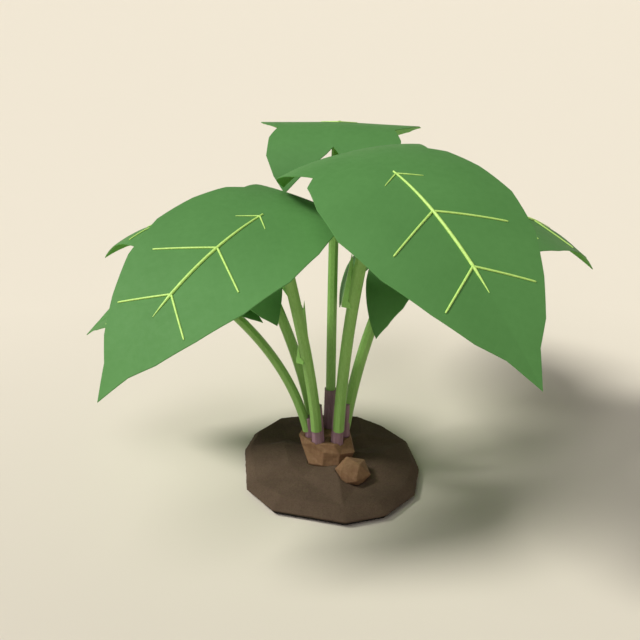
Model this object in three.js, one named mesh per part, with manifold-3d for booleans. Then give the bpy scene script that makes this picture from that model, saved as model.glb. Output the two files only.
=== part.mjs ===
// Young taro plant on a mound of soil: corm, side corm, six leaves and two rolled spears
// Millimetres, +Z up, origin at the centre of the soil's flat underside, leaves' azimuths measured from +X

import * as THREE from "three";
import { mergeVertices } from "three/addons/utils/BufferGeometryUtils.js";
import Module from "manifold-3d";

const wasm = await Module();
wasm.setup();

// Driving dimensions in millimetres
const GAP = 0.3;
const BLADE_THICKNESS = 1.0;
const VEIN_LIFT = 0.5;
const VEIN_CUT_DEPTH = 8;
const PETIOLE_SIDES = 8;
const PETIOLE_STEPS = 14;
const PETIOLE_ROOT_HEIGHT = 43;
const PETIOLE_OVERRUN = 9;
const PETIOLE_TRIM_HEIGHT = 16;
const SHEATH_FOOT = 40;
const SHEATH_SIDES = 8;

// Heart-shaped outline of one half of a blade, in blade lengths from the stalk to the tip.
// Each row is a margin corner (s along, t across) and the foot on the midline of the rib that reaches it.
const HALF_OUTLINE = [
  { s: -0.269, t: 0.0, foot: -0.269 },
  { s: -0.314, t: 0.033, foot: -0.13 },
  { s: -0.418, t: 0.137, foot: -0.12 },
  { s: -0.516, t: 0.227, foot: -0.11 },
  { s: -0.434, t: 0.287, foot: -0.09 },
  { s: -0.325, t: 0.334, foot: -0.07 },
  { s: -0.2, t: 0.332, foot: -0.055 },
  { s: -0.09, t: 0.297, foot: -0.04 },
  { s: -0.038, t: 0.363, foot: 0.0 },
  { s: 0.11, t: 0.415, foot: 0.08 },
  { s: 0.286, t: 0.435, foot: 0.2 },
  { s: 0.485, t: 0.379, foot: 0.36 },
  { s: 0.654, t: 0.275, foot: 0.52 },
  { s: 0.791, t: 0.172, foot: 0.68 },
  { s: 0.874, t: 0.081, foot: 0.83 },
  { s: 1.0, t: 0.0, foot: 1.0 },
];
const CROSS_STEPS = 4;
const MIDLINE_STEPS = 24;

// Raised veins: stations of the midrib, then the feet and ends of the pairs of side veins, in blade lengths.
// Radii are in millimetres.
const MIDRIB = [
  { s: 0.05, radius: 1.0 },
  { s: 0.15, radius: 1.3 },
  { s: 0.297, radius: 1.6 },
  { s: 0.546, radius: 1.65 },
  { s: 0.65, radius: 0.6 },
];
const SIDE_VEINS = [
  { foot: 0.067, s: 0.12, t: 0.097, radii: [0.95, 0.6] },
  { foot: 0.297, s: 0.422, t: 0.281, radii: [1.15, 0.95] },
  { foot: 0.546, s: 0.666, t: 0.219, radii: [1.15, 0.95] },
];
const VEIN_SIDES = 6;
const MIDRIB_STEPS = 17;
const SIDE_VEIN_STEPS = 7;

// The leaves. attach is the point where the stalk meets the blade and length runs from there to the tip.
// Angles are in degrees: droop and lobeDroop bend the blade per length in front of and behind the stalk,
// valley and curl shape its cross-section, and each change is per length towards the tip.
// lobeSpread widens the lobes.
// root is where the stalk's bow starts in the corm, bow its control point as shares of its run and of its rise,
// stalk its radius and seat the height of its foot in the sheath. A sheath leans from its foot to its top.
const LEAVES = [
  {
    name: "front_right",
    attach: [44.5, -85.9, 363.9],
    azimuth: 298.5,
    pitch: -11.3,
    roll: 6.8,
    length: 250.4,
    width: 0.816,
    droop: 63.6,
    droopChange: -28.1,
    lobeDroop: 63.6,
    lobeChange: 107.1,
    lobeSpread: 1.05,
    valley: 2.15,
    curl: 46.6,
    curlChange: -31.3,
    root: [5.9, -15],
    bow: [0.15, 0.52],
    stalk: 6.2,
    seat: 60,
    sheath: { foot: [4.8, -13], footRadius: 7.5, rim: [6.8, -14.5, 90], rimRadius: 5.8 },
  },
  {
    name: "front_left",
    attach: [-58.1, -64.1, 318.6],
    azimuth: 230.7,
    pitch: -10.25,
    roll: -8.85,
    length: 242.4,
    width: 0.791,
    droop: 49.9,
    droopChange: -6.5,
    lobeDroop: 117.3,
    lobeChange: 12.8,
    lobeSpread: 1,
    valley: 0.5,
    curl: 19.4,
    curlChange: -22,
    root: [-17, -15],
    bow: [0, 0.28],
    stalk: 6.2,
    seat: 60,
    sheath: { foot: [-15.4, -13], footRadius: 7.7, rim: [-17, -14.5, 89], rimRadius: 5.8 },
  },
  {
    name: "back",
    attach: [6.1, 134.5, 364.7],
    azimuth: 85,
    pitch: -5,
    roll: 0.75,
    length: 229,
    width: 0.945,
    droop: 29.4,
    droopChange: 2.1,
    lobeDroop: 145.8,
    lobeChange: -3,
    lobeSpread: 0.98,
    valley: -2,
    curl: -1.5,
    curlChange: 0,
    root: [-2, 18],
    bow: [0.22, 0.68],
    stalk: 5.6,
    seat: 58,
    sheath: { foot: [-2.6, 18.5], footRadius: 7.6, rim: [-1.8, 24.3, 90], rimRadius: 7 },
  },
  {
    name: "right",
    attach: [94.1, 38.3, 273.6],
    azimuth: 24.9,
    pitch: 16.25,
    roll: 3.1,
    length: 272.6,
    width: 0.718,
    droop: 82.3,
    droopChange: -17.8,
    lobeDroop: 100.7,
    lobeChange: 86.4,
    lobeSpread: 1,
    valley: -11.7,
    curl: 20.8,
    curlChange: -45.2,
    root: [11.9, -0.9],
    bow: [0.26, 0.63],
    stalk: 6.2,
    seat: 50,
    sheath: { foot: [13.2, -0.6], footRadius: 6.7, rim: [13.3, -2.5, 85], rimRadius: 5.8 },
  },
  {
    name: "left",
    attach: [-90.9, 29.6, 256.7],
    azimuth: 158.8,
    pitch: 27.2,
    roll: 13.25,
    length: 190.5,
    width: 0.979,
    droop: 73.2,
    droopChange: 5,
    lobeDroop: 61.3,
    lobeChange: -12,
    lobeSpread: 1,
    valley: -12.05,
    curl: 82,
    curlChange: -38,
    root: [-20.5, 11.4],
    bow: [0.11, 0.42],
    stalk: 5.8,
    seat: 52,
    sheath: { foot: [-20.2, 12.2], footRadius: 6.6, rim: [-24, 13, 80], rimRadius: 6 },
  },
  {
    name: "low_left",
    attach: [-144.2, 25.4, 212.3],
    azimuth: 171.3,
    pitch: -8.7,
    roll: -11.9,
    length: 158.8,
    width: 0.812,
    droop: 48.8,
    droopChange: -14.3,
    lobeDroop: 99.2,
    lobeChange: 13.8,
    lobeSpread: 1,
    valley: 6.9,
    curl: 33.2,
    curlChange: -17.8,
    root: [-25.6, -2.2],
    bow: [0.16, 0.61],
    stalk: 5.1,
    seat: 52,
    sheath: { foot: [-23.8, -1.4], footRadius: 6.4, rim: [-24.6, -1.4, 68], rimRadius: 5.4 },
  },
];

// Young leaves still rolled up, each a cone that leans on the stalk of an open leaf
const SPEARS = [
  { name: "spear_left", leaf: "front_left", at: [-30.8, -24.5, 146], height: 68, radius: 8.6 },
  { name: "spear_right", leaf: "front_right", at: [16.5, -36.5, 213], height: 55, radius: 10.2 },
];
const SPEAR_SIDES = 6;
const SPEAR_LEAN = 1.2;

// Mound of soil. Each row is one corner: azimuth, radius and height of the skirt, then of the shoulder.
const MOUND_CORNERS = [
  { azimuth: -152.6, skirt: [105, 6], shoulder: [93, 13] },
  { azimuth: -125.5, skirt: [109.5, 7], shoulder: [93, 16] },
  { azimuth: -83.6, skirt: [112.5, 7.5], shoulder: [94, 14] },
  { azimuth: -61, skirt: [112.5, 6.8], shoulder: [97, 15] },
  { azimuth: -34, skirt: [106, 5.8], shoulder: [94, 14.5] },
  { azimuth: -5, skirt: [98, 6], shoulder: [89, 16] },
  { azimuth: 22, skirt: [97, 8], shoulder: [93, 17] },
  { azimuth: 49, skirt: [99, 8], shoulder: [90, 20] },
  { azimuth: 71, skirt: [102, 8], shoulder: [94, 21] },
  { azimuth: 100, skirt: [104, 8], shoulder: [94, 21] },
  { azimuth: 124, skirt: [116, 8], shoulder: [107, 19] },
  { azimuth: 144, skirt: [114, 8], shoulder: [106, 15] },
  { azimuth: 161, skirt: [107, 5], shoulder: [99, 12] },
];
const MOUND_FOOT_SHARE = 0.95;
const MOUND_CROWN_SHARE = 0.58;
const MOUND_CROWN_HEIGHTS = [24.5, 18.5, 25, 17.5, 22];
const MOUND_TOP = 25;

// Corm: corners of its rim, of its waist and of the foot that sits in the soil
const CORM_RIM = [[-37, 0], [-21, -20], [1.6, -24], [20, -6.5], [19, 12], [-7, 30], [-31, 21]];
const CORM_WAIST = [
  [-34, -8, 38],
  [-10, -27, 38],
  [8, -27, 36],
  [24.5, -20, 34.5],
  [22, 10, 36],
  [-4, 28, 36],
  [-28, 19, 37],
];
const CORM_FOOT = [[-26.6, -23], [-11, -28], [7, -30], [19, -18], [15, 11], [-5, 22], [-24, 12]];
const CORM_RIM_HEIGHT = 46;
const CORM_FOOT_HEIGHT = 23;
const CORM_BOTTOM_HEIGHT = 8;
const CORM_BOTTOM_SHARE = 0.82;

// Side corm: a lump of ring corners round a centre
const SIDE_CORM_CENTRE = [21.5, -44, 25];
const SIDE_CORM_RADIUS = 20;
const SIDE_CORM_TURN = 40;
const SIDE_CORM_SQUASH = 0.82;

const AXIS_X = new THREE.Vector3(1, 0, 0);
const AXIS_Z = new THREE.Vector3(0, 0, 1);
const SMALL_ANGLE = 1e-4;
const MERGE_DISTANCE = 1e-3;
const EDGE_TOLERANCE = 1e-6;
const LOBE_REACH = 0.3;
const HALVINGS = 20;
const { degToRad } = THREE.MathUtils;

// Closed geometry from vertices and triangles
function shell(vertices, triangles) {
  const geometry = new THREE.BufferGeometry();
  geometry.setAttribute("position", new THREE.Float32BufferAttribute(vertices.flatMap((v) => v.toArray()), 3));
  geometry.setIndex(triangles.flat());
  return geometry;
}

// Solid for cutting and joining
function solid(geometry) {
  const bare = geometry.clone();
  bare.deleteAttribute("normal");
  bare.deleteAttribute("uv");
  const merged = mergeVertices(bare, MERGE_DISTANCE);
  return new wasm.Manifold(
    new wasm.Mesh({
      numProp: 3,
      vertProperties: merged.attributes.position.array,
      triVerts: new Uint32Array(merged.index.array),
    }),
  );
}

// Geometry of the largest body of a solid, with flat faces
function largestBody(body) {
  const pieces = body.decompose();
  const largest = pieces.reduce((best, piece) => (piece.volume() > best.volume() ? piece : best));
  const mesh = largest.getMesh();
  const geometry = new THREE.BufferGeometry();
  geometry.setAttribute("position", new THREE.BufferAttribute(new Float32Array(mesh.vertProperties), 3));
  geometry.setIndex(new THREE.BufferAttribute(new Uint32Array(mesh.triVerts), 1));
  return geometry;
}

function unite(bodies) {
  return bodies.reduce((sum, body) => sum.add(body));
}

function subtractAll(body, cutters) {
  return cutters.reduce((rest, cutter) => rest.subtract(cutter), body);
}

// Rings of corners closed by a flat foot and by a top that is flat or runs to a peak
function ringStack(rings, peak) {
  const count = rings[0].length;
  const vertices = rings.flat();
  const triangles = [];
  for (let ring = 0; ring + 1 < rings.length; ring += 1) {
    for (let i = 0; i < count; i += 1) {
      const next = (i + 1) % count;
      const a = ring * count + i;
      const b = ring * count + next;
      const splitsForward = (ring + i) % 2 === 0;
      if (splitsForward) triangles.push([a, b, b + count], [a, b + count, a + count]);
      else triangles.push([a, b, a + count], [b, b + count, a + count]);
    }
  }
  const last = (rings.length - 1) * count;
  const foot = vertices.push(centreOf(rings[0])) - 1;
  const top = vertices.push(peak ?? centreOf(rings[rings.length - 1])) - 1;
  for (let i = 0; i < count; i += 1) {
    const next = (i + 1) % count;
    triangles.push([foot, next, i], [top, last + i, last + next]);
  }
  return shell(vertices, triangles);
}

function centreOf(points) {
  return points.reduce((sum, p) => sum.add(p), new THREE.Vector3()).divideScalar(points.length);
}

function polar(radius, azimuth, height) {
  const angle = degToRad(azimuth);
  return new THREE.Vector3(radius * Math.cos(angle), radius * Math.sin(angle), height);
}

// Pitch of a blade's midline at s blade lengths from the stalk
function pitchAt(leaf, s) {
  const bend =
    s >= 0 ? -leaf.droop * s - leaf.droopChange * s * s : -leaf.lobeDroop * s + leaf.lobeChange * s * s;
  return degToRad(leaf.pitch + bend);
}

// Point of the midline in its own upright plane, in blade lengths
function midlinePoint(leaf, s) {
  const step = s / MIDLINE_STEPS;
  let along = 0;
  let up = 0;
  for (let i = 0; i < MIDLINE_STEPS; i += 1) {
    const pitch = pitchAt(leaf, (i + 0.5) * step);
    along += Math.cos(pitch) * step;
    up += Math.sin(pitch) * step;
  }
  return { along, up };
}

// Point of a blade's upper face at s along the midline and t across it, positive t on the left
function bladePoint(leaf, s, t) {
  const pitch = pitchAt(leaf, s);
  const { along, up } = midlinePoint(leaf, s);
  const lobeShare = THREE.MathUtils.clamp(-s / LOBE_REACH, 0, 1);
  const across = Math.abs(t) * leaf.width * THREE.MathUtils.lerp(1, leaf.lobeSpread, lobeShare);
  const exactCurl = degToRad(leaf.curl + leaf.curlChange * s);
  const curl = Math.abs(exactCurl) < SMALL_ANGLE ? SMALL_ANGLE : exactCurl;
  const valley = degToRad(leaf.valley);
  const side = (Math.sin(valley) - Math.sin(valley - curl * across)) / curl;
  const lift = (Math.cos(valley - curl * across) - Math.cos(valley)) / curl;
  return new THREE.Vector3(along - Math.sin(pitch) * lift, Math.sign(t) * side, up + Math.cos(pitch) * lift)
    .applyAxisAngle(AXIS_X, degToRad(leaf.roll))
    .applyAxisAngle(AXIS_Z, degToRad(leaf.azimuth))
    .multiplyScalar(leaf.length)
    .add(new THREE.Vector3(...leaf.attach));
}

// Flat grid of the whole blade: ribs from the midline to the margin on both sides
function flatGrid() {
  const points = [];
  const lookup = new Map();
  const indexOf = (s, t) => {
    const key = `${s.toFixed(5)},${t.toFixed(5)}`;
    if (!lookup.has(key)) lookup.set(key, points.push({ s, t }) - 1);
    return lookup.get(key);
  };
  const corner = (rib, step, side) => {
    const { s, t, foot } = HALF_OUTLINE[rib];
    const share = step / CROSS_STEPS;
    return indexOf(foot + (s - foot) * share, side * t * share + 0);
  };
  const triangles = [];
  const addTriangle = (side, a, b, c) => {
    if (a === b || b === c || c === a) return;
    triangles.push(side > 0 ? [a, b, c] : [a, c, b]);
  };
  for (const side of [1, -1]) {
    for (let rib = 0; rib + 1 < HALF_OUTLINE.length; rib += 1) {
      for (let step = 0; step < CROSS_STEPS; step += 1) {
        const a = corner(rib, step, side);
        const b = corner(rib + 1, step, side);
        const c = corner(rib + 1, step + 1, side);
        const d = corner(rib, step + 1, side);
        addTriangle(side, a, b, c);
        addTriangle(side, a, c, d);
      }
    }
  }
  return { points, triangles };
}

// Edges that only one triangle uses, in that triangle's direction
function openEdges(triangles) {
  const edges = new Map();
  for (const [a, b, c] of triangles) {
    for (const [from, to] of [[a, b], [b, c], [c, a]]) {
      if (edges.has(`${to},${from}`)) edges.delete(`${to},${from}`);
      else edges.set(`${from},${to}`, [from, to]);
    }
  }
  return [...edges.values()];
}

const GRID = flatGrid();
const GRID_RIM = openEdges(GRID.triangles);

// Upper face of a leaf: the bent grid and its vertex normals
function bladeSurface(leaf) {
  const points = GRID.points.map(({ s, t }) => bladePoint(leaf, s, t));
  const normals = points.map(() => new THREE.Vector3());
  for (const [a, b, c] of GRID.triangles) {
    const faceNormal = new THREE.Vector3()
      .subVectors(points[b], points[a])
      .cross(new THREE.Vector3().subVectors(points[c], points[a]));
    for (const corner of [a, b, c]) normals[corner].add(faceNormal);
  }
  normals.forEach((normal) => normal.normalize());
  return { points, normals };
}

// Closed sheet between two offsets from the upper face, with both faces split alike
function bladeSheet(surface, low, high) {
  const count = surface.points.length;
  const offset = (distance) => surface.points.map((p, i) => p.clone().addScaledVector(surface.normals[i], distance));
  const triangles = [];
  for (const [a, b, c] of GRID.triangles) triangles.push([a + count, b + count, c + count], [a, c, b]);
  for (const [a, b] of GRID_RIM) triangles.push([a, b, b + count], [a, b + count, a + count]);
  return shell([...offset(low), ...offset(high)], triangles);
}

// Point and normal on the bent facets over the flat position s, t
function facetPoint(surface, s, t) {
  for (const [a, b, c] of GRID.triangles) {
    const [pa, pb, pc] = [a, b, c].map((i) => GRID.points[i]);
    const area = (pb.s - pa.s) * (pc.t - pa.t) - (pc.s - pa.s) * (pb.t - pa.t);
    const shareB = ((s - pa.s) * (pc.t - pa.t) - (pc.s - pa.s) * (t - pa.t)) / area;
    const shareC = ((pb.s - pa.s) * (t - pa.t) - (s - pa.s) * (pb.t - pa.t)) / area;
    const shareA = 1 - shareB - shareC;
    if (Math.min(shareA, shareB, shareC) < -EDGE_TOLERANCE) continue;
    const blend = (list) =>
      new THREE.Vector3()
        .addScaledVector(list[a], shareA)
        .addScaledVector(list[b], shareB)
        .addScaledVector(list[c], shareC);
    return { point: blend(surface.points), normal: blend(surface.normals).normalize() };
  }
  throw new Error(`no facet over ${s}, ${t}`);
}

// Tapering round bar that follows the facets from one flat position to another
function veinBar(surface, from, to, steps, radiusAt) {
  const stations = Array.from({ length: steps + 1 }, (unused, i) => {
    const share = i / steps;
    const { lerp } = THREE.MathUtils;
    return facetPoint(surface, lerp(from.s, to.s, share), lerp(from.t, to.t, share));
  });
  const rings = stations.map(({ point, normal }, i) => {
    const ahead = stations[Math.min(i + 1, steps)].point;
    const behind = stations[Math.max(i - 1, 0)].point;
    const tangent = new THREE.Vector3().subVectors(ahead, behind).normalize();
    const side = new THREE.Vector3().crossVectors(normal, tangent).normalize();
    const upright = new THREE.Vector3().crossVectors(tangent, side);
    const radius = radiusAt(i / steps);
    const centre = point.clone().addScaledVector(normal, VEIN_LIFT);
    return Array.from({ length: VEIN_SIDES }, (unused, k) => {
      const angle = (2 * Math.PI * k) / VEIN_SIDES;
      return centre
        .clone()
        .addScaledVector(side, radius * Math.cos(angle))
        .addScaledVector(upright, radius * Math.sin(angle));
    });
  });
  return solid(ringStack(rings));
}

// Radius of the midrib at a share of its length
function midribRadius(share) {
  const s = THREE.MathUtils.lerp(MIDRIB[0].s, MIDRIB[MIDRIB.length - 1].s, share);
  const next = Math.max(1, MIDRIB.findIndex((station) => station.s >= s - SMALL_ANGLE));
  const [before, after] = [MIDRIB[next - 1], MIDRIB[next]];
  return THREE.MathUtils.mapLinear(s, before.s, after.s, before.radius, after.radius);
}

// Net of raised veins on a blade: the midrib and its pairs of side veins, cut off just above the blade
function veinNet(surface) {
  const from = { s: MIDRIB[0].s, t: 0 };
  const to = { s: MIDRIB[MIDRIB.length - 1].s, t: 0 };
  const bars = [veinBar(surface, from, to, MIDRIB_STEPS, midribRadius)];
  for (const { foot, s, t, radii } of SIDE_VEINS) {
    const radiusAt = (share) => THREE.MathUtils.lerp(...radii, share);
    for (const side of [1, -1]) {
      bars.push(veinBar(surface, { s: foot, t: 0 }, { s, t: side * t }, SIDE_VEIN_STEPS, radiusAt));
    }
  }
  return unite(bars).subtract(solid(bladeSheet(surface, -VEIN_CUT_DEPTH, GAP)));
}

// Stalk of a leaf as a round bar along the part of its bow from the seat to just past the blade
function stalkBar(leaf, margin) {
  const root = new THREE.Vector3(...leaf.root, PETIOLE_ROOT_HEIGHT);
  const attach = new THREE.Vector3(...leaf.attach);
  const run = new THREE.Vector3().subVectors(attach, root);
  const [runShare, riseShare] = leaf.bow;
  const bend = new THREE.Vector3(run.x * runShare, run.y * runShare, run.z * riseShare).add(root);
  const direction = new THREE.Vector3().subVectors(attach, bend).normalize();
  const end = attach.clone().addScaledVector(direction, PETIOLE_OVERRUN);
  const bow = new THREE.QuadraticBezierCurve3(root, bend, end);
  const start = shareAtHeight(bow, leaf.seat - margin);
  const section = new THREE.Shape(
    Array.from({ length: PETIOLE_SIDES }, (unused, i) => {
      const angle = (2 * Math.PI * (i + 0.5)) / PETIOLE_SIDES;
      const radius = leaf.stalk + margin;
      return new THREE.Vector2(radius * Math.cos(angle), radius * Math.sin(angle));
    }),
  );
  return solid(
    new THREE.ExtrudeGeometry(section, {
      steps: PETIOLE_STEPS,
      bevelEnabled: false,
      extrudePath: new THREE.QuadraticBezierCurve3(bow.getPoint(start), bend.clone().lerp(end, start), end),
    }),
  );
}

// Share of a rising bow at which it reaches a height, by halving
function shareAtHeight(bow, height) {
  let [low, high] = [0, 1];
  for (let i = 0; i < HALVINGS; i += 1) {
    const middle = (low + high) / 2;
    if (bow.getPoint(middle).z < height) low = middle;
    else high = middle;
  }
  return low;
}

// Clasping foot of a stalk as a leaning frustum
function sheathBlock(leaf, margin) {
  const { foot, footRadius, rim, rimRadius } = leaf.sheath;
  const ring = (x, y, z, radius) =>
    Array.from({ length: SHEATH_SIDES }, (unused, i) =>
      polar(radius + margin, (360 * (i + 0.5)) / SHEATH_SIDES, z).add(new THREE.Vector3(x, y, 0)),
    );
  const [rimX, rimY, rimHeight] = rim;
  return solid(
    ringStack([ring(...foot, SHEATH_FOOT - margin, footRadius), ring(rimX, rimY, rimHeight, rimRadius)]),
  );
}

// Rolled young leaf as a slim cone
function spearCone(spear) {
  const [x, y, z] = spear.at;
  const cone = new THREE.ConeGeometry(spear.radius, spear.height, SPEAR_SIDES);
  cone.rotateX(Math.PI / 2);
  cone.translate(0, 0, spear.height / 2);
  cone.rotateY(degToRad(SPEAR_LEAN));
  cone.translate(x, y, z);
  return solid(cone);
}

// Corm as three rings of corners, grown by a margin for the hole it sits in
function cormBlock(margin) {
  const centre = centreOf(CORM_FOOT.map(([x, y]) => new THREE.Vector3(x, y, 0)));
  const grown = (x, y, z, share = 1) => {
    const outward = new THREE.Vector3(x, y, 0).sub(centre).multiplyScalar(share);
    outward.setLength(outward.length() + margin);
    return centre.clone().add(outward).setZ(z);
  };
  const rings = [
    CORM_FOOT.map(([x, y]) => grown(x, y, CORM_BOTTOM_HEIGHT - margin, CORM_BOTTOM_SHARE)),
    CORM_FOOT.map(([x, y]) => grown(x, y, CORM_FOOT_HEIGHT)),
    CORM_WAIST.map(([x, y, z]) => grown(x, y, z)),
    CORM_RIM.map(([x, y]) => grown(x, y, CORM_RIM_HEIGHT)),
  ];
  return solid(ringStack(rings));
}

// Side corm as a squashed lump with twenty faces
function sideCormBlock(margin) {
  const lump = new THREE.IcosahedronGeometry(SIDE_CORM_RADIUS + margin, 0);
  lump.rotateZ(degToRad(SIDE_CORM_TURN));
  lump.scale(1, 1, SIDE_CORM_SQUASH);
  lump.translate(...SIDE_CORM_CENTRE);
  return solid(lump);
}

// Mound of soil: flat foot, skirt, shoulder, crown and peak
function moundBlock() {
  const rings = [
    MOUND_CORNERS.map(({ azimuth, skirt }) => polar(skirt[0] * MOUND_FOOT_SHARE, azimuth, 0)),
    MOUND_CORNERS.map(({ azimuth, skirt }) => polar(skirt[0], azimuth, skirt[1])),
    MOUND_CORNERS.map(({ azimuth, shoulder }) => polar(shoulder[0], azimuth, shoulder[1])),
    MOUND_CORNERS.map(({ azimuth, shoulder }, i) =>
      polar(shoulder[0] * MOUND_CROWN_SHARE, azimuth, MOUND_CROWN_HEIGHTS[i % MOUND_CROWN_HEIGHTS.length]),
    ),
  ];
  return solid(ringStack(rings, new THREE.Vector3(0, 0, MOUND_TOP)));
}

const MATERIALS = {
  soil: new THREE.MeshStandardMaterial({ color: 0x463a30, roughness: 0.95, metalness: 0 }),
  corm: new THREE.MeshStandardMaterial({ color: 0x73583c, roughness: 0.8, metalness: 0 }),
  sheath: new THREE.MeshStandardMaterial({ color: 0x70555f, roughness: 0.6, metalness: 0 }),
  petiole: new THREE.MeshStandardMaterial({ color: 0x699146, roughness: 0.5, metalness: 0 }),
  blade: new THREE.MeshStandardMaterial({ color: 0x3f7a38, roughness: 0.5, metalness: 0 }),
  vein: new THREE.MeshStandardMaterial({ color: 0xb5d56a, roughness: 0.5, metalness: 0 }),
};

const plant = new THREE.Group();

function place(name, body, material) {
  const mesh = new THREE.Mesh(largestBody(body), MATERIALS[material]);
  mesh.name = name;
  plant.add(mesh);
}

const grownStalks = new Map();
for (const leaf of LEAVES) {
  const surface = bladeSurface(leaf);
  const stalk = stalkBar(leaf, 0);
  const grownStalk = stalkBar(leaf, GAP);
  const aboveBlade = solid(bladeSheet(surface, -(BLADE_THICKNESS + GAP), PETIOLE_TRIM_HEIGHT));
  grownStalks.set(leaf.name, grownStalk);
  place(`sheath_${leaf.name}`, sheathBlock(leaf, 0).subtract(grownStalk), "sheath");
  place(`petiole_${leaf.name}`, stalk.subtract(aboveBlade), "petiole");
  place(`blade_${leaf.name}`, solid(bladeSheet(surface, -BLADE_THICKNESS, 0)), "blade");
  place(`veins_${leaf.name}`, veinNet(surface), "vein");
}
for (const spear of SPEARS) {
  place(spear.name, spearCone(spear).subtract(grownStalks.get(spear.leaf)), "petiole");
}

const grownSheaths = LEAVES.map((leaf) => sheathBlock(leaf, GAP));
const corm = subtractAll(cormBlock(0), grownSheaths);
const grownSideCorm = sideCormBlock(GAP);
place("corm", corm.subtract(grownSideCorm), "corm");
place("side_corm", sideCormBlock(0), "corm");
place("soil_mound", subtractAll(moundBlock(), [cormBlock(GAP), grownSideCorm]), "soil");

export default plant;
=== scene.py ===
import math

import bpy
import numpy as np
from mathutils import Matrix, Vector, noise


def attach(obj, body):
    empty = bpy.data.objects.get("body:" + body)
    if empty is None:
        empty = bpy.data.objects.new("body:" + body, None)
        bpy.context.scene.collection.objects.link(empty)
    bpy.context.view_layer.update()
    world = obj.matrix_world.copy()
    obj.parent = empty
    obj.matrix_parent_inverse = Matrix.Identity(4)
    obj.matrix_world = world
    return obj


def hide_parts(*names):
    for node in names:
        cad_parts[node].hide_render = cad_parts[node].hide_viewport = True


MM = 0.001
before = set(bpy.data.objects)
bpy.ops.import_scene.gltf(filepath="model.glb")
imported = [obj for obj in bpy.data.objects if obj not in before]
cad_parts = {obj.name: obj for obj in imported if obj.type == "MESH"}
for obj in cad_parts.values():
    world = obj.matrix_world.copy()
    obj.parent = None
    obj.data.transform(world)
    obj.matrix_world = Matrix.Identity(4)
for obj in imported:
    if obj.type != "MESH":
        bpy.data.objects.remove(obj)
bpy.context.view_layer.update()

# Sizes in millimetres
BLADE_THICKNESS = 1.0
RIM_BULGE = 0.2
RIM_INSET = 0.25
VEIN_LIFT = 0.3
VEIN_BED = 0.1
PETIOLE_ROOT_HEIGHT = 43.0
JOINT_GAP = 0.3
STALK_END_MARGIN = 0.4

# Heart-shaped outline of one half of a blade, in blade lengths: margin s and t, and the foot of its rib
HALF_OUTLINE = np.array(
    [
        (-0.269, 0.0, -0.269),
        (-0.314, 0.033, -0.13),
        (-0.418, 0.137, -0.12),
        (-0.516, 0.227, -0.11),
        (-0.434, 0.287, -0.09),
        (-0.325, 0.334, -0.07),
        (-0.2, 0.332, -0.055),
        (-0.09, 0.297, -0.04),
        (-0.038, 0.363, 0.0),
        (0.11, 0.415, 0.08),
        (0.286, 0.435, 0.2),
        (0.485, 0.379, 0.36),
        (0.654, 0.275, 0.52),
        (0.791, 0.172, 0.68),
        (0.874, 0.081, 0.83),
        (1.0, 0.0, 1.0),
    ]
)
RIBS_PER_CORNER = 4
CROSS_STEPS = 18
LOBE_REACH = 0.3
MIDLINE_START = -0.8
MIDLINE_END = 1.1
MIDLINE_STATIONS = 381
LEAST_CURL = 1e-4
NORMAL_REACH = 0.004

# Raised veins: stations and ends in blade lengths, radii in millimetres
MIDRIB_PROFILE = [(0.05, 0.9), (0.15, 1.2), (0.297, 1.55), (0.546, 1.6), (0.65, 0.35)]
SIDE_VEINS = [
    {"foot": 0.067, "end": (0.12, 0.097), "radii": (0.85, 0.4)},
    {"foot": 0.297, "end": (0.422, 0.281), "radii": (1.05, 0.85)},
    {"foot": 0.546, "end": (0.666, 0.219), "radii": (1.05, 0.85)},
]
MIDRIB_STATIONS = 60
SIDE_VEIN_STATIONS = 28
VEIN_SIDES = 14
VEIN_TIP_START = 0.96
VEIN_TIP_SHARE = 0.7

# Stalks: an eight-sided section with softened corners
STALK_STEPS = 60
STALK_SIDES = 32
STALK_CORNER = math.pi / 4
STALK_CORNER_SHARE = 0.75

# Angles in degrees past which an edge stays sharp
BLADE_SHARP = 30
VEIN_SHARP = 60
STALK_SHARP = 28

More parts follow.
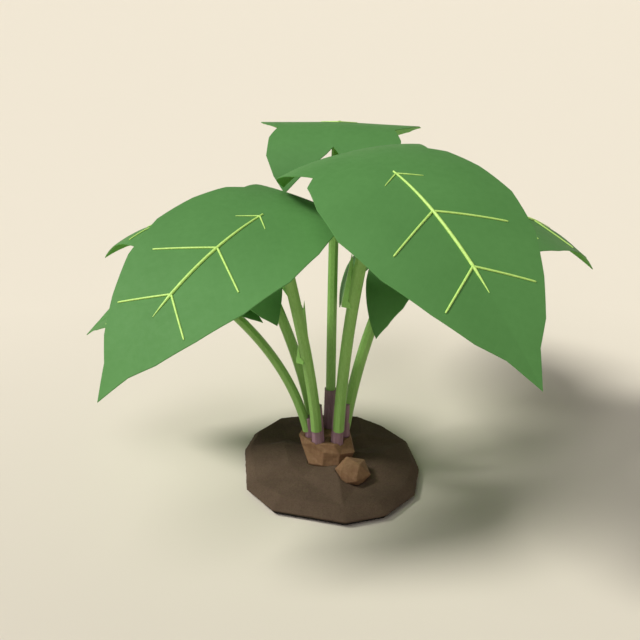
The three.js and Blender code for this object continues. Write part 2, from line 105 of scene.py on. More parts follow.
# The leaves in millimetres and degrees, as they are in the solids
LEAVES = [
    dict(name="front_right", attach=(44.5, -85.9, 363.9), azimuth=298.5, pitch=-11.3, roll=6.8,
         length=250.4, width=0.816, droop=63.6, droop_change=-28.1, lobe_droop=63.6, lobe_change=107.1,
         lobe_spread=1.05, valley=2.15, curl=46.6, curl_change=-31.3,
         root=(5.9, -15.0), bow=(0.15, 0.52), stalk=6.2, seat=60.0),
    dict(name="front_left", attach=(-58.1, -64.1, 318.6), azimuth=230.7, pitch=-10.25, roll=-8.85,
         length=242.4, width=0.791, droop=49.9, droop_change=-6.5, lobe_droop=117.3, lobe_change=12.8,
         lobe_spread=1.0, valley=0.5, curl=19.4, curl_change=-22.0,
         root=(-17.0, -15.0), bow=(0.0, 0.28), stalk=6.2, seat=60.0),
    dict(name="back", attach=(6.1, 134.5, 364.7), azimuth=85.0, pitch=-5.0, roll=0.75,
         length=229.0, width=0.945, droop=29.4, droop_change=2.1, lobe_droop=145.8, lobe_change=-3.0,
         lobe_spread=0.98, valley=-2.0, curl=-1.5, curl_change=0.0,
         root=(-2.0, 18.0), bow=(0.22, 0.68), stalk=5.6, seat=58.0),
    dict(name="right", attach=(94.1, 38.3, 273.6), azimuth=24.9, pitch=16.25, roll=3.1,
         length=272.6, width=0.718, droop=82.3, droop_change=-17.8, lobe_droop=100.7, lobe_change=86.4,
         lobe_spread=1.0, valley=-11.7, curl=20.8, curl_change=-45.2,
         root=(11.9, -0.9), bow=(0.26, 0.63), stalk=6.2, seat=50.0),
    dict(name="left", attach=(-90.9, 29.6, 256.7), azimuth=158.8, pitch=27.2, roll=13.25,
         length=190.5, width=0.979, droop=73.2, droop_change=5.0, lobe_droop=61.3, lobe_change=-12.0,
         lobe_spread=1.0, valley=-12.05, curl=82.0, curl_change=-38.0,
         root=(-20.5, 11.4), bow=(0.11, 0.42), stalk=5.8, seat=52.0),
    dict(name="low_left", attach=(-144.2, 25.4, 212.3), azimuth=171.3, pitch=-8.7, roll=-11.9,
         length=158.8, width=0.812, droop=48.8, droop_change=-14.3, lobe_droop=99.2, lobe_change=13.8,
         lobe_spread=1.0, valley=6.9, curl=33.2, curl_change=-17.8,
         root=(-25.6, -2.2), bow=(0.16, 0.61), stalk=5.1, seat=52.0),
]

# Fine soil and corms: voxels and relief in millimetres
SOIL_VOXEL = 1.3
CORM_VOXEL = 0.7
SIDE_CORM_VOXEL = 0.6
SOIL_FLAT_FOOT = 3.0
SOIL_LUMP_SIZE = 9.0
SOIL_CRUMB_SIZE = 2.6
SOIL_RELIEF = 0.25
SOIL_SINK = 0.2
CORM_RINGS_TURN = 1.5
CORM_RINGS_HEIGHT = 0.05
CORM_BEND_SIZE = 16.0
CORM_BEND_TURN = 5.0
CORM_FIBRE_WIDTH = 2.2
CORM_FIBRE_LENGTH = 9.0
CORM_FIBRE_HEIGHT = 0.14
CORM_SINK = 0.06

# Patterns of the skins: scales a metre, three of them where a pattern is drawn out along z
SOIL_PATCHES = 28.0
SOIL_GRAINS = 620.0
SOIL_PORES = 420.0
CORM_FIBRES = (260.0, 260.0, 45.0)
CORM_WOBBLE = 60.0
CORM_RINGS = 1500.0
SHEATH_RIBS = (900.0, 900.0, 30.0)
SHEATH_PATCHES = 90.0
STALK_STRIPES = (1100.0, 1100.0, 22.0)
STALK_PATCHES = (60.0, 60.0, 18.0)
BLADE_PATCHES = 14.0
BLADE_MOTTLE = 160.0
VEIN_MOTTLE = 420.0
FLOOR_GRAIN = 9.0

# Fine veins of a blade, in its own map of length and width
FINE_VEIN_SWEEP = 0.62
FINE_VEIN_OFFSET = 4.0
FINE_VEINS_A_LENGTH = 17.0
FINE_VEIN_EDGE = 0.41
FINE_NET_CELLS = 75.0
FINE_NET_LINE = 0.1

# Painted shade: the soil is painted near black below its skirt, where shade falls under the overhang;
# heights in metres
FOOT_SHADE_HEIGHTS = (0.0035, 0.006)
FOOT_SHADE_COLOUR = (0.012, 0.009, 0.007)

# Camera, light and floor, in metres and degrees
CAMERA_PLACE = (-0.01352, -0.86548, 0.53199)
CAMERA_PITCH_DOWN = 22.0
CAMERA_LENS = 50.0
CAMERA_SENSOR = 36.0
CAMERA_REACH = 200.0
SUNS = {
    "key": {
        "direction": (0.833, 0.102, -1.0),
        "strength": 2.95,
        "angle": 17.0,
        "colour": (1.0, 0.99, 0.93),
    },
    "overhead": {
        "direction": (0.2, 0.3, -1.0),
        "strength": 0.75,
        "angle": 30.0,
        "colour": (1.0, 0.98, 0.97),
    },
    "front_fill": {
        "direction": (0.9, 2.0, -1.0),
        "strength": 0.8,
        "angle": 60.0,
        "colour": (1.0, 0.95, 1.02),
    },
}
SUN_DISTANCE = 2.0
DOME_COLOUR = (1.0, 0.92, 1.0)
WORLD_STRENGTH = 0.05
FLOOR_COLOUR = (0.765, 0.712, 0.61)
# Painted shade on the floor: darker near a place in front of the plant, fading out with distance
FLOOR_NEAR_SHADE = 0.8
FLOOR_SHADE_CENTRE = (0.0, -0.9, 0.0)
FLOOR_FALLOFF = (0.5, 1.5)
FLOOR_FLAT_RADIUS = 25.0
FLOOR_RADIUS = 70.0
FLOOR_WALL_HEIGHT = 22.0
FLOOR_SECTORS = 96
FLOOR_RINGS = 12
FLOOR_DROP = 0.0003

# Places of the sockets of a colour mix node
MIX_FACTOR = 0
MIX_FIRST = 6
MIX_SECOND = 7
MIX_RESULT = 2


# Shader building
class Shader:
    """A node material whose nodes are added one by one."""

    def __init__(self, name):
        self.material = bpy.data.materials.new(name)
        self.material.use_nodes = True
        self.tree = self.material.node_tree
        self.surface = self.tree.nodes["Principled BSDF"]

    def add(self, kind, **settings):
        """A new node; a setting named in_ and a name or number is the value of that socket."""
        node = self.tree.nodes.new(kind)
        for key, value in settings.items():
            if key.startswith("in_"):
                socket = key[3:]
                node.inputs[int(socket) if socket.isdigit() else socket].default_value = value
            else:
                setattr(node, key, value)
        return node

    def link(self, output, target):
        self.tree.links.new(output, target)

    def math(self, operation, first, second=None):
        node = self.add("ShaderNodeMath", operation=operation)
        for place, value in enumerate((first, second)):
            if value is None:
                continue
            if isinstance(value, (int, float)):
                node.inputs[place].default_value = value
            else:
                self.link(value, node.inputs[place])
        return node.outputs[0]

    def ramp(self, factor, stops):
        node = self.add("ShaderNodeValToRGB")
        elements = node.color_ramp.elements
        while len(elements) < len(stops):
            elements.new(0.5)
        for element, (position, colour) in zip(elements, stops):
            element.position = position
            element.color = (*colour, 1.0)
        self.link(factor, node.inputs["Fac"])
        return node.outputs["Color"]

    def mix(self, factor, first, second, blend="MIX"):
        node = self.add("ShaderNodeMix", data_type="RGBA", blend_type=blend)
        for place, value in ((MIX_FACTOR, factor), (MIX_FIRST, first), (MIX_SECOND, second)):
            target = node.inputs[place]
            if isinstance(value, (int, float)):
                target.default_value = value
            elif isinstance(value, tuple):
                target.default_value = (*value, 1.0)
            else:
                self.link(value, target)
        return node.outputs[MIX_RESULT]

    def map_range(self, value, low, high, to_low=0.0, to_high=1.0):
        node = self.add("ShaderNodeMapRange", in_1=low, in_2=high, in_3=to_low, in_4=to_high)
        self.link(value, node.inputs[0])
        return node.outputs[0]

    def noise(self, vector, scale, detail=3.0, roughness=0.55):
        node = self.add("ShaderNodeTexNoise", in_Scale=scale, in_Detail=detail, in_Roughness=roughness)
        self.link(vector, node.inputs["Vector"])
        return node.outputs["Fac"]

    def voronoi(self, vector, scale, feature="F1"):
        node = self.add("ShaderNodeTexVoronoi", feature=feature, in_Scale=scale)
        self.link(vector, node.inputs["Vector"])
        return node.outputs["Distance"]

    def stretch(self, vector, scale):
        node = self.add("ShaderNodeMapping", in_Scale=scale)
        self.link(vector, node.inputs["Vector"])
        return node.outputs[0]

    def place(self):
        return self.add("ShaderNodeTexCoord").outputs["Object"]

    def surface_map(self):
        return self.add("ShaderNodeUVMap", uv_map="surface").outputs[0]

    def split(self, vector):
        node = self.add("ShaderNodeSeparateXYZ")
        self.link(vector, node.inputs[0])
        return node.outputs

    def bump(self, height, distance, strength=1.0):
        node = self.add("ShaderNodeBump", in_Strength=strength, in_Distance=distance)
        self.link(height, node.inputs["Height"])
        self.link(node.outputs[0], self.surface.inputs["Normal"])

    def finish(self, colour, roughness, specular=0.4):
        self.link(colour, self.surface.inputs["Base Color"])
        if isinstance(roughness, (int, float)):
            self.surface.inputs["Roughness"].default_value = roughness
        else:
            self.link(roughness, self.surface.inputs["Roughness"])
        self.surface.inputs["Specular IOR Level"].default_value = specular
        return self.material


def soil_material():
    """Dark crumbly soil: brown patches, pale and dark grains, pores, and painted shade at its foot."""
    m = Shader("soil")
    place = m.place()
    patches = m.noise(place, SOIL_PATCHES, 3.0)
    grains = m.noise(place, SOIL_GRAINS, 5.0, 0.7)
    base = m.ramp(patches, [(0.3, (0.08, 0.054, 0.037)), (0.7, (0.104, 0.071, 0.048))])
    grain_tones = [
        (0.32, (0.68, 0.66, 0.64)),
        (0.52, (1.0, 1.0, 1.0)),
        (0.74, (1.2, 1.18, 1.15)),
    ]
    colour = m.mix(0.6, base, m.ramp(grains, grain_tones), "MULTIPLY")
    # Painted shade: the soil's foot below the skirt fades to a near-black colour
    height_z = m.split(place)[2]
    shade_full_height, shade_end_height = FOOT_SHADE_HEIGHTS
    colour = m.mix(m.map_range(height_z, shade_full_height, shade_end_height, 1.0, 0.0), colour, FOOT_SHADE_COLOUR)
    height = m.math("ADD", grains, m.math("MULTIPLY", m.voronoi(place, SOIL_PORES), 0.6))
    m.bump(height, 0.0006, 0.4)
    return m.finish(colour, m.map_range(grains, 0.3, 0.7, 0.98, 0.86), 0.15)


def corm_material():
    """Brown fibrous skin with faint ring scars."""
    m = Shader("corm_skin")
    place = m.place()
    fibres = m.noise(m.stretch(place, CORM_FIBRES), 1.0, 5.0, 0.65)
    wobble = m.noise(place, CORM_WOBBLE, 3.0)
    height_z = m.split(place)[2]
    turn = m.math("ADD", m.math("MULTIPLY", height_z, CORM_RINGS), m.math("MULTIPLY", wobble, 7.0))
    ring_lines = m.map_range(m.math("SINE", turn), 0.7, 1.0)
    fibre_tones = [
        (0.28, (0.17, 0.094, 0.047)),
        (0.55, (0.21, 0.12, 0.062)),
        (0.8, (0.25, 0.15, 0.082)),
    ]
    base = m.ramp(fibres, fibre_tones)
    colour = m.mix(m.math("MULTIPLY", ring_lines, 0.12), base, (0.14, 0.075, 0.04))
    height = m.math("SUBTRACT", fibres, m.math("MULTIPLY", ring_lines, 0.25))
    m.bump(height, 0.0004, 0.45)
    return m.finish(colour, m.map_range(fibres, 0.3, 0.7, 0.9, 0.72), 0.25)


def sheath_material():
    """Purple clasping foot of a stalk, ribbed along its length."""
    m = Shader("sheath")
    place = m.place()
    ribs = m.noise(m.stretch(place, SHEATH_RIBS), 1.0, 4.0, 0.6)
    patches = m.noise(place, SHEATH_PATCHES, 2.0)
    rib_tones = [
        (0.3, (0.2, 0.112, 0.148)),
        (0.55, (0.275, 0.16, 0.205)),
        (0.78, (0.34, 0.22, 0.26)),
    ]
    base = m.ramp(ribs, rib_tones)
    colour = m.mix(m.map_range(patches, 0.35, 0.75, 0.0, 0.3), base, (0.15, 0.12, 0.085))
    m.bump(ribs, 0.0005, 0.5)
    return m.finish(colour, 0.55, 0.35)


def stalk_material(name, dark, light):
    """Green stalk with fine stripes along its length."""
    m = Shader(name)
    place = m.place()
    stripes = m.noise(m.stretch(place, STALK_STRIPES), 1.0, 4.0, 0.6)
    patches = m.noise(m.stretch(place, STALK_PATCHES), 1.0, 2.0)
    base = m.ramp(stripes, [(0.3, dark), (0.72, light)])
    shade = m.ramp(patches, [(0.3, (0.9, 0.93, 0.88)), (0.7, (1.08, 1.05, 1.1))])
    colour = m.mix(1.0, base, shade, "MULTIPLY")
    m.bump(stripes, 0.0003, 0.4)
    return m.finish(colour, m.map_range(stripes, 0.3, 0.7, 0.5, 0.4), 0.4)


def vein_pattern(m):
    """Lines of the fine side veins over a blade, from its own map of length and width."""
    along, across, _ = m.split(m.surface_map())
    across = m.math("ABSOLUTE", across)
    swept = m.math("SUBTRACT", along, m.math("MULTIPLY", across, FINE_VEIN_SWEEP))
    count = m.math("MULTIPLY", m.math("ADD", swept, FINE_VEIN_OFFSET), FINE_VEINS_A_LENGTH)
    from_middle = m.math("ABSOLUTE", m.math("SUBTRACT", m.math("FRACT", count), 0.5))
    return m.map_range(from_middle, FINE_VEIN_EDGE, 0.5)


def blade_material(name, dark, light, vein_tint):
    """Waxy leaf skin: soft patches, fine side veins and a net of the finest veins."""
    m = Shader(name)
    place = m.place()
    flat = m.surface_map()
    patches = m.noise(place, BLADE_PATCHES, 2.0)
    mottle = m.noise(place, BLADE_MOTTLE, 3.0)
    lines = vein_pattern(m)
    cell_edges = m.voronoi(flat, FINE_NET_CELLS, "DISTANCE_TO_EDGE")
    net = m.map_range(cell_edges, 0.0, FINE_NET_LINE, 1.0, 0.0)
    base = m.ramp(patches, [(0.32, dark), (0.68, light)])
    speckle = m.ramp(mottle, [(0.3, (0.97, 0.975, 0.965)), (0.7, (1.03, 1.025, 1.035))])
    colour = m.mix(1.0, base, speckle, "MULTIPLY")
    colour = m.mix(m.math("MULTIPLY", net, 0.06), colour, vein_tint)
    colour = m.mix(m.math("MULTIPLY", lines, 0.12), colour, vein_tint)
    height = m.math("ADD", m.math("MULTIPLY", lines, 0.3), m.math("MULTIPLY", net, 0.2))
    m.bump(m.math("ADD", height, m.math("MULTIPLY", mottle, 0.4)), 0.0002, 0.15)
    return m.finish(colour, m.map_range(mottle, 0.3, 0.7, 0.68, 0.6), 0.16)


def raised_vein_material():
    """Yellow-green raised vein, softly mottled."""
    m = Shader("raised_vein")
    mottle = m.noise(m.place(), VEIN_MOTTLE, 3.0)
    colour = m.ramp(mottle, [(0.3, (0.42, 0.68, 0.15)), (0.7, (0.56, 0.83, 0.22))])
    m.bump(mottle, 0.0002, 0.3)
    return m.finish(colour, 0.45, 0.4)


def floor_material():
    """Pale studio floor with painted shade: a little darker around a place in front of the plant."""
    m = Shader("studio_floor")
    place = m.place()
    distance = m.add("ShaderNodeVectorMath", operation="DISTANCE", in_1=FLOOR_SHADE_CENTRE)
    m.link(place, distance.inputs[0])
    near, far = FLOOR_FALLOFF
    # Painted shade: the floor is darkest near that place and fully pale past the far distance
    paleness = m.map_range(distance.outputs["Value"], near, far)
    grain = m.math("MULTIPLY", m.noise(place, FLOOR_GRAIN, 2.0), 0.04)
    shaded = tuple(FLOOR_NEAR_SHADE * c for c in FLOOR_COLOUR)
    tones = [(0.0, shaded), (1.0, FLOOR_COLOUR)]
    return m.finish(m.ramp(m.math("ADD", paleness, grain), tones), 0.9, 0.0)


MATERIALS = {
    "soil": soil_material(),
    "corm_skin": corm_material(),
    "sheath": sheath_material(),
    "petiole": stalk_material("petiole", (0.185, 0.37, 0.078), (0.25, 0.46, 0.12)),
    "spear": stalk_material("spear", (0.22, 0.48, 0.105), (0.31, 0.6, 0.15)),
    "blade_top": blade_material(
        "blade_top", (0.077, 0.212, 0.057), (0.086, 0.231, 0.064), (0.1, 0.255, 0.076)
    ),
    "blade_under": blade_material(
        "blade_under", (0.13, 0.4, 0.058), (0.15, 0.43, 0.066), (0.18, 0.47, 0.085)
    ),
    "vein": raised_vein_material(),
}


# Leaf law: where a point of a blade lies
def rotate_pair(first, second, angle):
    """Two coordinates turned by an angle in radians."""
    turned_first = math.cos(angle) * first - math.sin(angle) * second
    turned_second = math.sin(angle) * first + math.cos(angle) * second
    return turned_first, turned_second


def midline(leaf, s):
    """Pitch at s and the midline's point there, by small steps from the stalk."""
    steps = np.linspace(MIDLINE_START, MIDLINE_END, MIDLINE_STATIONS)
    bend = np.where(
        steps >= 0,
        -leaf["droop"] * steps - leaf["droop_change"] * steps**2,
        -leaf["lobe_droop"] * steps + leaf["lobe_change"] * steps**2,
    )
    pitch = np.radians(leaf["pitch"] + bend)
    size = steps[1] - steps[0]
    along = np.concatenate([[0], np.cumsum((np.cos(pitch[1:]) + np.cos(pitch[:-1])) / 2 * size)])
    up = np.concatenate([[0], np.cumsum((np.sin(pitch[1:]) + np.sin(pitch[:-1])) / 2 * size)])
    along -= np.interp(0.0, steps, along)
    up -= np.interp(0.0, steps, up)
    return np.interp(s, steps, pitch), np.interp(s, steps, along), np.interp(s, steps, up)


def blade_points(leaf, s, t):
    """Points of the upper face, in millimetres, at s along the midline and t across it."""
    s, t = np.asarray(s, float), np.asarray(t, float)
    pitch, along, up = midline(leaf, s)
    lobe_share = np.clip(-s / LOBE_REACH, 0.0, 1.0)
    across = np.abs(t) * leaf["width"] * (1 + (leaf["lobe_spread"] - 1) * lobe_share)
    curl = np.radians(leaf["curl"] + leaf["curl_change"] * s)
    curl = np.where(np.abs(curl) < LEAST_CURL, LEAST_CURL, curl)
    valley = math.radians(leaf["valley"])
    side = np.sign(t) * (math.sin(valley) - np.sin(valley - curl * across)) / curl
    lift = (np.cos(valley - curl * across) - math.cos(valley)) / curl
    x = along - np.sin(pitch) * lift
    y, z = rotate_pair(side, up + np.cos(pitch) * lift, math.radians(leaf["roll"]))
    x, y = rotate_pair(x, y, math.radians(leaf["azimuth"]))
    return np.stack([x, y, z], -1) * leaf["length"] + np.array(leaf["attach"])


def blade_normals(leaf, s, t):
    """Upward normals of the upper face, from the points on either side."""
    ahead = blade_points(leaf, s + NORMAL_REACH, t) - blade_points(leaf, s - NORMAL_REACH, t)
    left = blade_points(leaf, s, t + NORMAL_REACH) - blade_points(leaf, s, t - NORMAL_REACH)
    normals = np.cross(ahead, left)
    return normals / np.linalg.norm(normals, axis=-1, keepdims=True)


def unit(vectors):
    """Vectors of length one in the same directions."""
    return vectors / np.maximum(np.linalg.norm(vectors, axis=-1, keepdims=True), 1e-9)


# Mesh building
def add_piece(name, points_mm, faces, slot, replaces=(), **dressing):
    """A new mesh object from millimetre points, riding on the root."""
    mesh = bpy.data.meshes.new(name)
    places = [tuple(point) for point in np.asarray(points_mm) * MM]
    mesh.from_pydata(places, [], [tuple(map(int, face)) for face in faces])
    mesh.validate()
    piece = bpy.data.objects.new(name, mesh)
    bpy.context.collection.objects.link(piece)
    return dress(piece, slot, replaces, **dressing)


def dress(piece, slot, replaces=(), materials=None, face_materials=None, uv=None, sharp=None):
    """Materials, shading and the frame's facts for a piece."""
    mesh = piece.data
    mesh.materials.clear()
    for key in materials or [slot]:
        mesh.materials.append(MATERIALS[key])
    if face_materials is not None:
        mesh.polygons.foreach_set("material_index", np.asarray(face_materials, dtype=np.int32))
    if uv is not None:
        layer = mesh.uv_layers.new(name="surface")
        corners = np.empty(len(mesh.loops), dtype=np.int32)
        mesh.loops.foreach_get("vertex_index", corners)
        layer.data.foreach_set("uv", np.asarray(uv, dtype=np.float32)[corners].ravel())
    mesh.shade_smooth()
    if sharp is not None:
        mesh.set_sharp_from_angle(angle=math.radians(sharp))
    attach(piece, "root")
    if replaces:
        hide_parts(*replaces)
    return piece


def tube_faces(rings, sides, clockwise=False):
    """Faces of a tube of point rings, closed at both ends."""
    faces = []
    for ring in range(rings - 1):
        for k in range(sides):
            a, b = ring * sides + k, ring * sides + (k + 1) % sides
            faces.append([a, a + sides, b + sides, b] if clockwise else [a, b, b + sides, a + sides])
    first = list(range(sides))
    last = [(rings - 1) * sides + k for k in range(sides)]
    return faces + ([first, last[::-1]] if clockwise else [first[::-1], last])


def blade_grid():
    """Flat fine grid of a blade: points s and t, faces, and the margin loop from sinus to tip and back."""
    rows = []
    for first, second in zip(HALF_OUTLINE[:-1], HALF_OUTLINE[1:]):
        rows += [first + (second - first) * k / RIBS_PER_CORNER for k in range(RIBS_PER_CORNER)]
    rows.append(HALF_OUTLINE[-1])
    points, lookup = [], {}

    def index_of(s, t):
        key = (round(s, 6), round(t, 6) + 0.0)
        if key not in lookup:
            lookup[key] = len(points)
            points.append(key)
        return lookup[key]

    faces = []
    margins = {}
    for side in (1, -1):
        grid = []
        for s, t, foot in rows:
            shares = np.arange(CROSS_STEPS + 1) / CROSS_STEPS
            grid.append([index_of(foot + (s - foot) * q, side * t * q) for q in shares])
        margins[side] = [ribs[-1] for ribs in grid]
        for here, ahead in zip(grid[:-1], grid[1:]):
            for k in range(CROSS_STEPS):
                face = [here[k], ahead[k], ahead[k + 1], here[k + 1]]
                face = [v for i, v in enumerate(face) if v not in face[:i]]
                if len(face) > 2:
                    faces.append(face if side > 0 else face[::-1])
    loop = margins[-1] + margins[1][-2:0:-1]
    return np.array(points), faces, loop


GRID_POINTS, GRID_FACES, GRID_LOOP = blade_grid()


def add_blade(leaf):
    """Thin blade with a rounded rim; the underside has its own skin."""
    s, t = GRID_POINTS[:, 0], GRID_POINTS[:, 1]
    top = blade_points(leaf, s, t)
    normals = blade_normals(leaf, s, t)
    under = top - normals * BLADE_THICKNESS
    count = len(top)
    loop = np.array(GRID_LOOP)
    ahead = unit(top[np.roll(loop, -1)] - top[np.roll(loop, 1)])
    outward = unit(np.cross(ahead, normals[loop]))
    rim = (top[loop] + under[loop]) / 2 + outward * RIM_BULGE
    top[loop] -= outward * RIM_INSET
    under[loop] -= outward * RIM_INSET
    faces = list(GRID_FACES) + [[v + count for v in face][::-1] for face in GRID_FACES]
    skins = [0] * len(GRID_FACES) + [1] * len(GRID_FACES)
    size = len(loop)
    for i in range(size):
        j = (i + 1) % size
        a, b, c, d = loop[i], loop[j], 2 * count + i, 2 * count + j
        faces += [[c, d, b, a], [a + count, b + count, d, c]]
        skins += [0, 1]
    return add_piece(
        f"leaf_blade_{leaf['name']}",
        np.concatenate([top, under, rim]),
        faces,
        "blade",
        [f"blade_{leaf['name']}"],
        materials=["blade_top", "blade_under"],
        face_materials=skins,
        uv=np.concatenate([GRID_POINTS, GRID_POINTS, GRID_POINTS[loop]]),
        sharp=BLADE_SHARP,
    )


def vein_bar(leaf, s, t, radii):
    """Half-round ridge that follows the blade; closed at both ends."""
    path = blade_points(leaf, s, t)
    normals = blade_normals(leaf, s, t)
    tangents = unit(np.gradient(path, axis=0))
    across = unit(np.cross(normals, tangents))
    angles = 2 * math.pi * np.arange(VEIN_SIDES) / VEIN_SIDES
    wide = np.cos(angles)[None, :, None] * radii[:, None, None]
    high = np.maximum(np.sin(angles)[None, :, None] * radii[:, None, None] + VEIN_LIFT, VEIN_BED)
    rings = path[:, None] + across[:, None] * wide + normals[:, None] * high
    return rings.reshape(-1, 3), tube_faces(len(path), VEIN_SIDES, clockwise=True)


def add_veins(leaf):
    """All raised veins of one blade."""
    stations, sizes = np.array(MIDRIB_PROFILE).T
    s = np.linspace(stations[0], stations[-1], MIDRIB_STATIONS)
    bars = [vein_bar(leaf, s, np.zeros_like(s), np.interp(s, stations, sizes))]
    for vein in SIDE_VEINS:
        share = np.linspace(0, 1, SIDE_VEIN_STATIONS)
        s = vein["foot"] + (vein["end"][0] - vein["foot"]) * share
        thick, thin = vein["radii"]
        radii = np.interp(share, [0, VEIN_TIP_START, 1], [thick, thin, thin * VEIN_TIP_SHARE])
        for side in (1, -1):
            bars.append(vein_bar(leaf, s, side * vein["end"][1] * share, radii))
    points, faces = [], []
    for bar_points, bar_faces in bars:
        start = sum(len(p) for p in points)
        points.append(bar_points)
        faces += [[v + start for v in face] for face in bar_faces]
    return add_piece(
        f"leaf_veins_{leaf['name']}",
        np.concatenate(points),
        faces,
        "vein",
        [f"veins_{leaf['name']}"],
        sharp=VEIN_SHARP,
    )


def stalk_curve(leaf):
    """Points of a stalk's axis from its seat in the sheath to the blade."""
    start = np.array([*leaf["root"], PETIOLE_ROOT_HEIGHT])
    end = np.array(leaf["attach"])
    run = end - start
    control = start + run * np.array([leaf["bow"][0], leaf["bow"][0], leaf["bow"][1]])

    def points(share):
        share = share[:, None]
        return (1 - share) ** 2 * start + 2 * share * (1 - share) * control + share**2 * end

    trial = np.linspace(0, 1, 1001)
    seat = np.interp(leaf["seat"], points(trial)[:, 2], trial)
    return points(np.linspace(seat, 1, STALK_STEPS + 1))


def stalk_radii(leaf, angles):
    """Distance of the section's edge from the axis, at each angle."""
    half = STALK_CORNER / 2
    within = (angles + half) % STALK_CORNER - half
    return leaf["stalk"] * (math.cos(half) / np.cos(within)) ** STALK_CORNER_SHARE


def trim_under_blade(leaf, rings, tangents):
    """Moves the last ring, and any that reach past it, to end just under the blade."""
    zero = np.array([0.0])
    normal = blade_normals(leaf, zero, zero)[0]
    level = -(BLADE_THICKNESS + JOINT_GAP)
    last = rings[-1]
    height = (last - np.array(leaf["attach"])) @ normal
    rings[-1] = last + tangents[-1] * ((level - height) / (tangents[-1] @ normal))[:, None]
    reach = ((rings - np.array(leaf["attach"])) @ normal)[:-1]
    limit = level - STALK_END_MARGIN
    slide = np.where(reach > limit, (limit - reach) / (tangents[-1] @ normal), 0.0)
    rings[:-1] += tangents[-1] * slide[..., None]


def add_stalk(leaf):
    """Softly eight-sided stalk that ends just under the blade."""
    axis = stalk_curve(leaf)
    tangents = unit(np.gradient(axis, axis=0))
    azimuth = math.radians(leaf["azimuth"])
    toward = np.array([math.cos(azimuth), math.sin(azimuth), 0.0])
    side = unit(np.cross(tangents, toward))
    front = np.cross(side, tangents)
    angles = 2 * math.pi * np.arange(STALK_SIDES) / STALK_SIDES
    radius = stalk_radii(leaf, angles)
    rings = (
        axis[:, None]
        + side[:, None] * (np.cos(angles) * radius)[None, :, None]
        + front[:, None] * (np.sin(angles) * radius)[None, :, None]
    )
    trim_under_blade(leaf, rings, tangents)
    return add_piece(
        f"leaf_stalk_{leaf['name']}",
        rings.reshape(-1, 3),
        tube_faces(len(axis), STALK_SIDES),
        "petiole",
        [f"petiole_{leaf['name']}"],
        sharp=STALK_SHARP,
    )


def grown_copy(node, voxel_mm, relief):
    """Fine copy of a solid, with relief(point in mm) pushed out along its normals."""
    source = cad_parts[node]
    piece = bpy.data.objects.new(f"fine_{node}", source.data.copy())
    bpy.context.collection.objects.link(piece)
    remesh = piece.modifiers.new("remesh", "REMESH")
    remesh.mode = "VOXEL"
    remesh.voxel_size = voxel_mm * MM
    depsgraph = bpy.context.evaluated_depsgraph_get()
    mesh = bpy.data.meshes.new_from_object(piece.evaluated_get(depsgraph))
    piece.modifiers.clear()
    piece.data = mesh
    places = np.empty(len(mesh.vertices) * 3)
    mesh.vertices.foreach_get("co", places)
    normals = np.empty(len(mesh.vertices) * 3, dtype=np.float32)
    mesh.vertex_normals.foreach_get("vector", normals)
    places, normals = places.reshape(-1, 3), normals.reshape(-1, 3)
    heights = np.array([relief(Vector(place) / MM) for place in places])
    mesh.vertices.foreach_set("co", (places + normals * heights[:, None] * MM).ravel())
    mesh.update()
    return piece


def soil_relief(p):
    """Crumbs and pores, flat at the foot."""
    fade = min(max(p.z / SOIL_FLAT_FOOT, 0.0), 1.0)
    coarse = noise.noise(p / SOIL_LUMP_SIZE) * SOIL_RELIEF
    fine = noise.noise(p / SOIL_CRUMB_SIZE) * SOIL_RELIEF
    return fade * (coarse + fine - SOIL_SINK)


def corm_relief(p):
    """Shallow ring scars and fibres."""
    rings = math.sin(p.z * CORM_RINGS_TURN + noise.noise(p / CORM_BEND_SIZE) * CORM_BEND_TURN)
    drawn_out = Vector((p.x / CORM_FIBRE_WIDTH, p.y / CORM_FIBRE_WIDTH, p.z / CORM_FIBRE_LENGTH))
    return CORM_RINGS_HEIGHT * rings + CORM_FIBRE_HEIGHT * noise.noise(drawn_out) - CORM_SINK


def finish_node(name, material):
    """A solid that keeps its own form gets its material."""
    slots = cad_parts[name].data.materials
    slots.clear()
    slots.append(MATERIALS[material])


def finish_plain_nodes():
    """The sheaths and the rolled young leaves."""
    for leaf in LEAVES:
        finish_node(f"sheath_{leaf['name']}", "sheath")
    for name in ("spear_left", "spear_right"):
        finish_node(name, "spear")


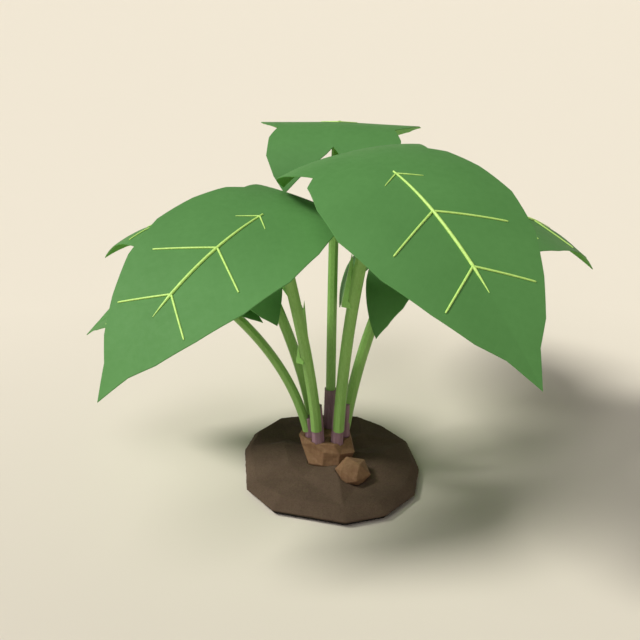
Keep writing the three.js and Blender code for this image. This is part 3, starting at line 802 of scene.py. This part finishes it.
def add_floor():
    """Flat round floor that curves up far away, so that no horizon shows."""
    points = [(0.0, 0.0, -FLOOR_DROP)]
    for ring in range(FLOOR_RINGS + 1):
        share = ring / FLOOR_RINGS
        radius = FLOOR_FLAT_RADIUS + (FLOOR_RADIUS - FLOOR_FLAT_RADIUS) * share
        for sector in range(FLOOR_SECTORS):
            angle = 2 * math.pi * sector / FLOOR_SECTORS
            height = FLOOR_WALL_HEIGHT * share**2 - FLOOR_DROP
            points.append((radius * math.cos(angle), radius * math.sin(angle), height))
    faces = []
    for sector in range(FLOOR_SECTORS):
        ahead = (sector + 1) % FLOOR_SECTORS
        faces.append((0, 1 + sector, 1 + ahead))
        for ring in range(FLOOR_RINGS):
            inner, outer = 1 + ring * FLOOR_SECTORS, 1 + (ring + 1) * FLOOR_SECTORS
            faces.append((inner + sector, outer + sector, outer + ahead, inner + ahead))
    mesh = bpy.data.meshes.new("studio_floor")
    mesh.from_pydata(points, [], faces)
    mesh.materials.append(floor_material())
    mesh.shade_smooth()
    floor = bpy.data.objects.new("studio_floor", mesh)
    bpy.context.collection.objects.link(floor)


def add_lights():
    """Soft light from the left, above and the front, and a faint even dome."""
    for name, light in SUNS.items():
        sun_data = bpy.data.lights.new(name, "SUN")
        sun_data.energy = light["strength"]
        sun_data.angle = math.radians(light["angle"])
        sun_data.color = light["colour"]
        sun = bpy.data.objects.new(name, sun_data)
        sun.rotation_euler = Vector(light["direction"]).to_track_quat("-Z", "Y").to_euler()
        sun.location = -SUN_DISTANCE * Vector(light["direction"])
        bpy.context.collection.objects.link(sun)
    world = bpy.data.worlds.new("dome")
    world.use_nodes = True
    background = world.node_tree.nodes["Background"]
    background.inputs[0].default_value = (*DOME_COLOUR, 1.0)
    background.inputs[1].default_value = WORLD_STRENGTH
    bpy.context.scene.world = world


def add_camera():
    """Camera in front of the plant, looking down on it."""
    scene = bpy.context.scene
    camera_data = bpy.data.cameras.new("camera")
    camera_data.lens = CAMERA_LENS
    camera_data.sensor_width = CAMERA_SENSOR
    camera_data.clip_end = CAMERA_REACH
    camera = bpy.data.objects.new("camera", camera_data)
    camera.location = CAMERA_PLACE
    camera.rotation_euler = (math.radians(90.0 - CAMERA_PITCH_DOWN), 0.0, 0.0)
    bpy.context.collection.objects.link(camera)
    scene.camera = camera
    scene.view_settings.view_transform = "Standard"
    scene.view_settings.look = "None"


def build():
    """The whole plant on its mound, then the stage."""
    for leaf in LEAVES:
        add_blade(leaf)
        add_veins(leaf)
        add_stalk(leaf)
    finish_plain_nodes()
    dress(grown_copy("soil_mound", SOIL_VOXEL, soil_relief), "soil", ["soil_mound"])
    dress(grown_copy("corm", CORM_VOXEL, corm_relief), "corm_skin", ["corm"])
    dress(grown_copy("side_corm", SIDE_CORM_VOXEL, corm_relief), "corm_skin", ["side_corm"])
    add_floor()
    add_lights()
    add_camera()


build()
